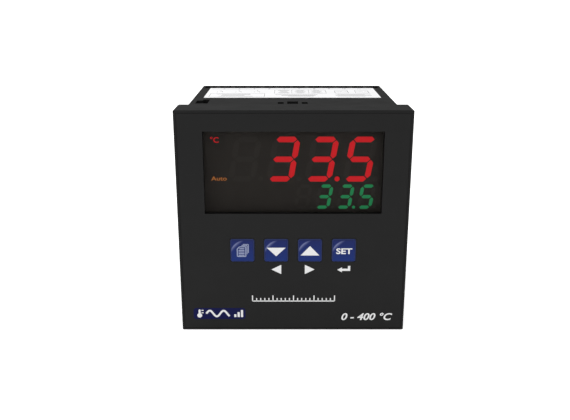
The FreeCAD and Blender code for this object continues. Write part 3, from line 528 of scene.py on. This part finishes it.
def front_print(finishes):
    """White symbols under the keys, a plain scale, a blue badge and a plain range."""
    origin = Vector((0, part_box("front_overlay")[0].y, 0))
    white = Artwork()
    for side in (-1, 1):
        base, tip = ARROW_BASE * side, ARROW_TIP * side
        low, high = ARROW_LEVEL - ARROW_HALF, ARROW_LEVEL + ARROW_HALF
        white.polygon([(base, low), (tip, ARROW_LEVEL), (base, high)])
    return_arrow(white, RETURN_ARROW_X, ARROW_LEVEL)
    plain_scale(white, *SCALE_PLACE, SCALE_WIDTH)
    white.text("0 - 400 °C", *RANGE_PLACE, *RANGE_SIZE, slant=0.25, weight=0.02)
    white.place("front_print_white", FRONT, origin, finishes["white_ink"])
    badge = Artwork(0.02)
    badge.polygon(rounded(*BADGE_PLACE, *BADGE_SIZE, BADGE_CORNER))
    badge.place("badge_field", FRONT, origin, finishes["blue_ink"], slot="key_plastic")
    badge_symbols().place("badge_symbols", FRONT, origin, finishes["white_ink"])


def badge_symbols():
    """A thermometer, a wave and three bars of rising height."""
    symbols = Artwork(0.05)
    level = BADGE_PLACE[1]
    thermometer(symbols, THERMOMETER_X, level)
    wave = []
    for step in range(41):
        height = WAVE_HEIGHT * math.sin(step * math.pi / 12)
        wave.append((WAVE_START + WAVE_STEP * step, level + height))
    symbols.line(wave, WAVE_LINE)
    for place, height in enumerate(BAR_HEIGHTS):
        symbols.box(BARS_X + place * BARS_PITCH, BARS_BASE + height / 2, BAR_WIDTH, height)
    return symbols


def return_arrow(artwork, x, y):
    """A thick arrow to the left whose tail turns up."""
    line, reach, head = 1.0, 2.75, 1.15
    left, right, neck = x - reach, x + reach, x - 0.75
    bar_low = y - 0.65
    bar_high = bar_low + line
    tail_top = y + 1.6
    middle = (bar_low + bar_high) / 2
    artwork.polygon(
        [
            (left, middle),
            (neck, middle - head),
            (neck, bar_low),
            (right, bar_low),
            (right, tail_top),
            (right - line, tail_top),
            (right - line, bar_high),
            (neck, bar_high),
            (neck, middle + head),
        ]
    )


def plain_scale(artwork, x, y, width):
    """A rule with ticks, longer at every fifth."""
    ticks, line = 20, 0.45
    base = y - 1.4
    artwork.box(x, base, width, line)
    for tick in range(ticks + 1):
        height = 2.6 if tick % 5 == 0 else 1.4
        artwork.box(x + width * (tick / ticks - 0.5), base + height / 2, line, height)


def thermometer(artwork, x, y):
    """A thermometer: bulb, tube and two marks."""
    bulb = arc(x, y - 0.85, 1.05, 115, 425, 20)
    tube = arc(x, y + 1.5, 0.45, 0, 180)
    artwork.polygon(bulb + tube)
    for mark in range(2):
        artwork.box(x + 1.25, y + 0.35 + mark * 1.15, 0.9, 0.42)


# ---------------------------------------------------------------- signs in the window


def window_signs(finishes):
    """The red unit sign and the amber state sign, each on its own field of the display."""
    for node, words, name, finish, weight in (
        ("unit_light", "°C", "unit_sign", "red", 0.01),
        ("status_light", "Auto", "status_sign", "amber", 0.0),
    ):
        low, high, middle = box_of(node)
        width, height = (high.x - low.x) / MM, (high.z - low.z) / MM
        sign = Artwork(0.04)
        sign.text(words, 0.0, 0.0, width, height, weight=weight)
        origin = Vector((middle.x, low.y, middle.z))
        sign.place(name, FRONT, origin, finishes[finish], slot=f"{finish}_segment")


# ---------------------------------------------------------------- keys

# Inset from the key's edge and height of each ring of the crowned film, in millimetres.
CROWN = (
    (0.32, 0.0),
    (0.36, 0.03),
    (0.46, 0.055),
    (0.7, 0.08),
    (1.2, 0.1),
    (2.2, 0.125),
    (3.4, 0.14),
    (4.6, 0.145),
)
CROWN_TOP = CROWN[-1][1]
KEY_CORNER = 0.9
KEY_FLANGE = 1.0


def key_size():
    """The side of a key's face, worked out from its flange."""
    low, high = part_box("key_menu")
    return (high.x - low.x) / MM - 2 * KEY_FLANGE


def crowned_square(size):
    """A shallow cushion of rings with its print's coordinates, standing on z = 0."""
    mesh = bmesh.new()
    coordinates = mesh.loops.layers.uv.new("print")
    rings = []
    for inset, height in CROWN:
        side = size - 2 * inset
        outline = rounded(0, 0, side, side, max(KEY_CORNER - inset, 0.12))
        rings.append([mesh.verts.new((x, y, height)) for x, y in outline])
    for outer, inner in zip(rings, rings[1:]):
        for place in range(len(outer)):
            following = (place + 1) % len(outer)
            mesh.faces.new((outer[place], outer[following], inner[following], inner[place]))
    mesh.faces.new(rings[-1])
    mesh.faces.new(rings[0][::-1])
    for face in mesh.faces:
        face.smooth = True
        for loop in face.loops:
            loop[coordinates].uv = (loop.vert.co.x / size + 0.5, loop.vert.co.y / size + 0.5)
    bmesh.ops.recalc_face_normals(mesh, faces=mesh.faces)
    return mesh


def key_film(name, finishes):
    """The printed film over a key, slightly crowned."""
    low, high, middle = box_of(f"key_{name}")
    mesh = crowned_square(key_size())
    mesh.transform(Matrix.Translation((middle.x, low.y, middle.z)) @ FRONT @ Matrix.Scale(MM, 4))
    film = bpy.data.meshes.new(f"key_{name}_film")
    mesh.to_mesh(film)
    mesh.free()
    add_piece(f"key_{name}_film", film, finishes["key_print"], f"{name}_key_body")


def key_symbols(finishes):
    """The symbol of each key, on the crown of its film."""
    for name in KEYS:
        low, high, middle = box_of(f"key_{name}")
        symbol = Artwork(CROWN_TOP + 0.03)
        finish = "white_ink"
        if name == "menu":
            page_stack(symbol)
            finish = "pale_ink"
        elif name == "down":
            symbol.polygon([(-3.95, 1.35), (0.0, -2.45), (3.95, 1.35)])
        elif name == "up":
            symbol.polygon([(-3.95, -2.1), (3.95, -2.1), (0.0, 2.1)])
        else:
            symbol.text("SET", 0.15, -0.2, 6.7, 2.6, weight=0.025)
        origin = Vector((middle.x, low.y, middle.z))
        symbol.place(f"key_{name}_symbol", FRONT, origin, finishes[finish], f"{name}_key_body")


def page_stack(artwork):
    """A written sheet with a cut corner, and the edges of two sheets behind it."""
    left, right, low, high, cut, line = -2.15, 1.45, -2.55, 1.75, 1.0, 0.34
    corners = [(left, high - cut), (left, low), (right, low), (right, high), (left + cut, high)]
    for place, corner in enumerate(corners):
        artwork.line([corner, corners[(place + 1) % len(corners)]], line)
    margin, first, pitch = 1.1, 0.85, 0.72
    for row in range(5):
        shift = 0.35 if row == 0 else 0.0
        middle, length = (left + right + shift) / 2, right - left - margin - shift
        artwork.box(middle, high - first - row * pitch, length, line)
    for sheet in (1, 2):
        step = sheet * 0.55
        edge = [(right + step, low + 0.5 + step), (right + step, high + step)]
        artwork.line(edge, line * 0.8)
        artwork.line([edge[1], (left + cut + step + 0.3, high + step)], line * 0.8)


# ---------------------------------------------------------------- label on the top


THIN_LINE = 0.15
CONTACT_LINE = 0.22


def label_print(finishes):
    """Plain wiring print in grey: terminal numbers, contacts, tables and rows of dashes."""
    low, high, middle = box_of("case_label")
    width, length = (high.x - low.x) / MM, (high.y - low.y) / MM
    sheet = Artwork(0.02)
    label_numbers(sheet, width, length / 2 - 2.6)
    label_left(sheet)
    label_middle(sheet)
    label_right(sheet)
    origin = Vector((middle.x, middle.y, high.z))
    sheet.place("label_print", TOP, origin, finishes["grey_ink"], slot="case_plastic")


def label_numbers(sheet, width, level):
    """The number of each terminal that the label reaches, over a rule."""
    for place, x in enumerate(terminal_places("upper")):
        if abs(x) < width / 2 - 1.0:
            digits = str(place + 1)
            sheet.text(digits, x, level, numeral_width(digits, 1.15), 1.8, weight=0.01)
    sheet.box(0, level - 1.9, width - 3.0, THIN_LINE)


def label_left(sheet):
    """Three change-over contacts over a framed list."""
    for block in range(3):
        relay_symbol(sheet, -35.0 + block * 9.0, 4.5)
    sheet.frame(-26.0, -8.5, 26.0, 11.0, THIN_LINE)
    for row in range(4):
        sheet.box(-28.0 + (row % 2) * 1.5, -5.0 - row * 2.3, 16.0 - (row % 3) * 2.5, 0.55)


def label_middle(sheet):
    """A table of three columns over three centred rows."""
    for row in range(5):
        for column in range(3):
            dash = 5.5 - ((row + column) % 3) * 1.2
            sheet.box(-4.0 + column * 8.0, 7.5 - row * 2.2, dash, 0.5)
    sheet.frame(4.0, 3.2, 25.0, 11.8, THIN_LINE)
    for column in (-0.1, 8.1):
        sheet.box(column, 3.2, 0.12, 11.6)
    for row in range(3):
        sheet.box(2.0 + row, -7.0 - row * 2.4, 20.0 - row * 4.0, 0.7)


def label_right(sheet):
    """Two framed switches over a list."""
    for block in range(2):
        x = 24.0 + block * 10.0
        sheet.frame(x, 3.0, 6.5, 9.0, THIN_LINE)
        sheet.line([(x - 3.2, 3.0), (x - 1.2, 3.0), (x + 0.8, 5.2)], CONTACT_LINE)
        sheet.line([(x + 1.2, 3.0), (x + 3.2, 3.0)], CONTACT_LINE)
    for row in range(4):
        sheet.box(29.0 - (row % 2) * 1.2, -5.0 - row * 2.3, 17.0 - (row % 2) * 4.0, 0.55)


def numeral_width(digits, width):
    """How wide a number is, from the room of one digit, with a narrow 1."""
    strokes = sum(width * (0.45 if digit == "1" else 0.85) for digit in digits)
    return strokes + width * 0.15 * (len(digits) - 1)


def relay_symbol(artwork, x, y):
    """A change-over contact in line form."""
    artwork.line([(x, y + 3.2), (x, y + 0.8)], 0.18)
    artwork.line([(x, y + 0.8), (x + 1.2, y - 1.2)], CONTACT_LINE)
    for side in (-1, 1):
        artwork.line([(x + side * 1.3, y - 3.2), (x + side * 1.3, y - 1.3)], 0.18)


# ---------------------------------------------------------------- terminals

TERMINAL_COUNT = 12
HEAD_HEIGHT = 2.0
HEAD_BEVEL = 0.18
SHANK_RADIUS = 1.45
THREAD_PITCH = 0.5
THREAD_DEPTH = 0.14
THREAD_START = -0.2
SLOT_WIDTH = 0.75
SLOT_DEPTH = 0.85
SCREW_SIDES = 32
SCREW_TURN = 37
NUMBER_OFFSET = 7.6


def terminal_places(row):
    """The x of each terminal of a row, in millimetres, from the row of screws."""
    low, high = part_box(f"{row}_terminal_screws")
    radius = (high.z - low.z) / 2
    pitch = (high.x - low.x - 2 * radius) / (TERMINAL_COUNT - 1)
    return [(low.x + radius + place * pitch) / MM for place in range(TERMINAL_COUNT)]


def screw_profile(radius, length):
    """Half the outline of a screw, its head upwards from z = 0 and its threaded shank below."""
    flat = radius - HEAD_BEVEL
    profile = [(0.0, HEAD_HEIGHT), (flat, HEAD_HEIGHT), (radius, HEAD_HEIGHT - HEAD_BEVEL)]
    profile += [(radius, HEAD_BEVEL), (flat, 0.0), (SHANK_RADIUS, 0.0)]
    turns = int((length + 2 * THREAD_START) / THREAD_PITCH)
    for turn in range(turns):
        top = THREAD_START - turn * THREAD_PITCH
        root = (SHANK_RADIUS - THREAD_DEPTH, top - THREAD_PITCH / 2)
        profile += [(SHANK_RADIUS, top), root]
    profile.append((SHANK_RADIUS, THREAD_START - turns * THREAD_PITCH))
    return profile + [(SHANK_RADIUS - 0.3, -length), (0.0, -length)]


def screw_mesh(radius, length):
    """A screw without its driver slot, in millimetres."""
    profile = screw_profile(radius, length)
    mesh = bmesh.new()
    verts = [mesh.verts.new((across, 0.0, level)) for across, level in profile]
    edges = [mesh.edges.new(pair) for pair in zip(verts, verts[1:])]
    bmesh.ops.spin(
        mesh,
        geom=verts + edges,
        cent=(0, 0, 0),
        axis=(0, 0, 1),
        angle=2 * math.pi,
        steps=SCREW_SIDES,
        use_merge=True,
    )
    bmesh.ops.remove_doubles(mesh, verts=mesh.verts, dist=1e-4)
    bmesh.ops.recalc_face_normals(mesh, faces=mesh.faces)
    return mesh


def object_from(mesh, name):
    """A linked object that takes over a mesh in the making."""
    data = bpy.data.meshes.new(name)
    mesh.to_mesh(data)
    mesh.free()
    item = bpy.data.objects.new(name, data)
    bpy.context.scene.collection.objects.link(item)
    return item


def cut_slot(mesh, radius):
    """Cut the driver slot across the head, with a boolean applied to the mesh."""
    cutter = bmesh.new()
    bmesh.ops.create_cube(cutter, size=1.0)
    scale = Matrix.Diagonal((radius * 3, SLOT_WIDTH, SLOT_DEPTH * 2, 1.0))
    cutter.transform(Matrix.Translation((0, 0, HEAD_HEIGHT)) @ scale)
    screw = object_from(mesh, "screw")
    tool = object_from(cutter, "slot")
    cut = screw.modifiers.new("slot", "BOOLEAN")
    cut.operation = "DIFFERENCE"
    cut.object = tool
    bpy.context.view_layer.update()
    depsgraph = bpy.context.evaluated_depsgraph_get()
    result = bpy.data.meshes.new_from_object(screw.evaluated_get(depsgraph))
    for item in (screw, tool):
        bpy.data.objects.remove(item)
    return result


def terminal_screws(finishes):
    """Slotted, threaded screws in place of the plain ones."""
    for row in ("upper", "lower"):
        node = f"{row}_terminal_screws"
        low, high, middle = box_of(node)
        radius = (high.z - low.z) / 2 / MM
        length = (high.y - low.y) / MM - HEAD_HEIGHT
        screw = cut_slot(screw_mesh(radius, length), radius)
        row_mesh = bmesh.new()
        for place, x in enumerate(terminal_places(row)):
            turn = Matrix.Rotation(math.radians(SCREW_TURN * place % 180), 4, "Z")
            copy = screw.copy()
            origin = Vector((x * MM, high.y - HEAD_HEIGHT * MM, middle.z))
            copy.transform(Matrix.Translation(origin) @ REAR @ Matrix.Scale(MM, 4) @ turn)
            row_mesh.from_mesh(copy)
            bpy.data.meshes.remove(copy)
        joined = bpy.data.meshes.new(f"{row}_screw_set")
        row_mesh.to_mesh(joined)
        row_mesh.free()
        bpy.data.meshes.remove(screw)
        piece = add_piece(f"{row}_screw_set", joined, finishes["screw"], MAIN_BODY)
        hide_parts(node)


def terminal_numbers(finishes):
    """Plain numbers on the rear wall, beside each terminal."""
    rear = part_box("case")[1].y
    for row, first, side in (("upper", 1, 1), ("lower", 13, -1)):
        numbers = Artwork()
        level = box_of(f"{row}_terminal_screws")[2].z / MM - side * NUMBER_OFFSET
        for place, x in enumerate(terminal_places(row)):
            digits = str(first + place)
            numbers.text(digits, -x, level, numeral_width(digits, 1.3), 2.0, weight=0.015)
        numbers.place(f"{row}_terminal_numbers", REAR, Vector((0, rear, 0)), finishes["white_ink"])


# ---------------------------------------------------------------- room and camera


FLOOR_REACH = 12.0
LIGHT_PLACE = (-0.3, 0.05, 0.4)
LIGHT_SIZE = 0.25
LIGHT_POWER = 0.55
CAMERA_PLACE = (-0.0034, -0.2954, 0.0942)
CAMERA_LENS = 44.92
CAMERA_DIP = 17.33


def floor_paint():
    """Pale paint that reads as white under the studio's light."""
    material, tree, shader = new_material("floor_paint", 0.9, 0.0)
    tone = mix(tree, noise(tree, 900.0), srgb(243, 243, 243), srgb(245, 245, 245))
    tree.links.new(tone, shader.inputs["Base Color"])
    shader.inputs["Emission Color"].default_value = (1.0, 1.0, 1.0, 1.0)
    shader.inputs["Emission Strength"].default_value = 0.5
    material.cycles.emission_sampling = "NONE"
    return material


def make_stage():
    """A plain pale floor under even studio light."""
    mesh = bmesh.new()
    bmesh.ops.create_grid(mesh, x_segments=1, y_segments=1, size=FLOOR_REACH)
    mesh.transform(Matrix.Translation((0, 0, cad_bounds[0][2])))
    floor = object_from(mesh, "floor")
    floor.data.materials.append(floor_paint())
    bpy.context.scene.world = studio_dome()
    bpy.context.scene.view_settings.view_transform = "Standard"


def studio_dome():
    """White all round, a little brighter on the left, and dim low down behind the object."""
    world = bpy.data.worlds.new("studio")
    world.use_nodes = True
    tree = world.node_tree
    direction = tree.nodes.new("ShaderNodeTexCoord")
    split = tree.nodes.new("ShaderNodeSeparateXYZ")
    tree.links.new(direction.outputs["Generated"], split.inputs["Vector"])
    low = remap(tree, split.outputs["Z"], 0.15, 0.6, 1.0, 0.0, True)
    behind = remap(tree, split.outputs["Y"], -0.1, 0.4, 0.0, 1.0, True)
    side = remap(tree, split.outputs["X"], -1.0, 1.0, 1.2, 1.0)
    dim = remap(tree, calculate(tree, "MULTIPLY", low, behind), 0.0, 1.0, 1.0, 0.12)
    strength = calculate(tree, "MULTIPLY", side, dim)
    tree.links.new(strength, tree.nodes["Background"].inputs["Strength"])
    tree.nodes["Background"].inputs["Color"].default_value = (1.0, 1.0, 1.0, 1.0)
    return world


def add_light(name, place, size, power):
    """A square soft light that faces the object."""
    light = bpy.data.lights.new(name, "AREA")
    light.size = size
    light.energy = power
    lamp = bpy.data.objects.new(name, light)
    lamp.location = place
    lamp.rotation_euler = (-Vector(place)).to_track_quat("-Z", "Y").to_euler()
    bpy.context.scene.collection.objects.link(lamp)


def make_camera():
    """In front and above, a hair to the left of the middle, and looking down a little."""
    camera = bpy.data.cameras.new("camera")
    camera.lens = CAMERA_LENS
    camera.sensor_width = 36.0
    camera.clip_start = 0.01
    holder = bpy.data.objects.new("camera", camera)
    holder.location = CAMERA_PLACE
    holder.rotation_euler = (math.radians(90 - CAMERA_DIP), 0.0, 0.0)
    bpy.context.scene.collection.objects.link(holder)
    bpy.context.scene.camera = holder


materials = make_materials()
dress_nodes(materials)
front_print(materials)
window_signs(materials)
for key in KEYS:
    key_film(key, materials)
key_symbols(materials)
label_print(materials)
terminal_screws(materials)
terminal_numbers(materials)
make_stage()
add_light("soft_light", LIGHT_PLACE, LIGHT_SIZE, LIGHT_POWER)
make_camera()
